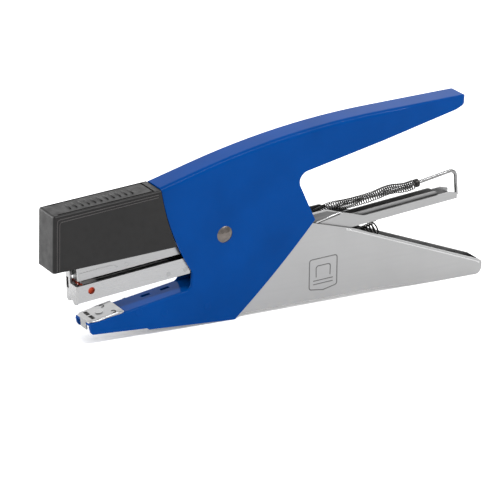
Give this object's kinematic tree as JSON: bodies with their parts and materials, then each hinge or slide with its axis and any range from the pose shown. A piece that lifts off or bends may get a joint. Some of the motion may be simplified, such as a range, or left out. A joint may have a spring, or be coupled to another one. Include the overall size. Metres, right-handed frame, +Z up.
{
  "type": "plier stapler",
  "caption": "Hand-held plier stapler: lever handles squeeze a capped head and staple magazine onto a clinching jaw, all on one pivot.",
  "frame": {"origin": "middle of the bounding box in X and Y, on the surface the stapler rests on", "axes": "+X from the staple exit towards the grips (the long way), +Y across the body to its far side (the thin way), +Z up"},
  "size_m": [0.1734, 0.0122, 0.0686],
  "materials": {
    "blue_enamel": "glossy blue stoving enamel on pressed steel",
    "black_plastic": "fine-grained black moulding",
    "chrome": "bright chrome plate",
    "nickel_steel": "satin nickel plate",
    "spring_steel": "dark oiled spring wire",
    "red_plastic": "red moulding"
  },
  "bodies": {
    "body": {"body_shell": "blue_enamel", "jaw_liner": "nickel_steel", "anvil_plate": "chrome", "anvil_rivet": "chrome", "pivot_pin": "chrome", "pivot_washer": "chrome", "pivot_sleeve": "nickel_steel", "pivot_spring": "spring_steel", "stop_pin": "nickel_steel"},
    "lever": {"lever_frame": "nickel_steel", "hammer_arm": "chrome", "arm_rivets": "chrome", "head_cap": "black_plastic", "driver_blade": "nickel_steel", "blade_rivets": "nickel_steel", "spring_anchor": "nickel_steel", "return_spring": "spring_steel"},
    "magazine": {"magazine_channel": "nickel_steel", "magazine_nose": "chrome", "nose_rivets": "chrome", "blade_guide": "black_plastic", "staple_rail": "nickel_steel", "rail_rivets": "nickel_steel"},
    "rod": {"follower_rod": "chrome", "spring_collar": "spring_steel", "pusher_spring": "spring_steel", "pusher_spring_rear": "spring_steel"},
    "pusher": {"pusher": "red_plastic"}
  },
  "joints": [
    {"name": "lever_pivot", "type": "hinge", "parent": "body", "child": "lever", "pos_m": [-0.02167, 0, 0.0317], "axis": [0, -1, 0], "range_deg": [0, 13.5], "stiffness_Nm_per_rad": 2, "springref_deg": -14.32, "deforming": ["pivot_spring"]},
    {"name": "magazine_pivot", "type": "hinge", "parent": "lever", "child": "magazine", "pos_m": [-0.02167, 0, 0.0317], "axis": [0, -1, 0], "range_deg": [-7, 0], "deforming": ["return_spring"]},
    {"name": "rod_pull", "type": "slide", "parent": "magazine", "child": "rod", "axis": [0.9952, 0, 0.0976], "range_m": [0, 0.1]},
    {"name": "pusher_slide", "type": "slide", "parent": "rod", "child": "pusher", "axis": [0.9952, 0, 0.0976], "range_m": [0, 0.04], "stiffness_N_per_m": 15, "springref_m": -0.03, "deforming": ["pusher_spring"]}
  ],
  "couplings": [
    {"joint": "magazine_pivot", "follows": "lever_pivot", "ratio": -0.5185}
  ]
}
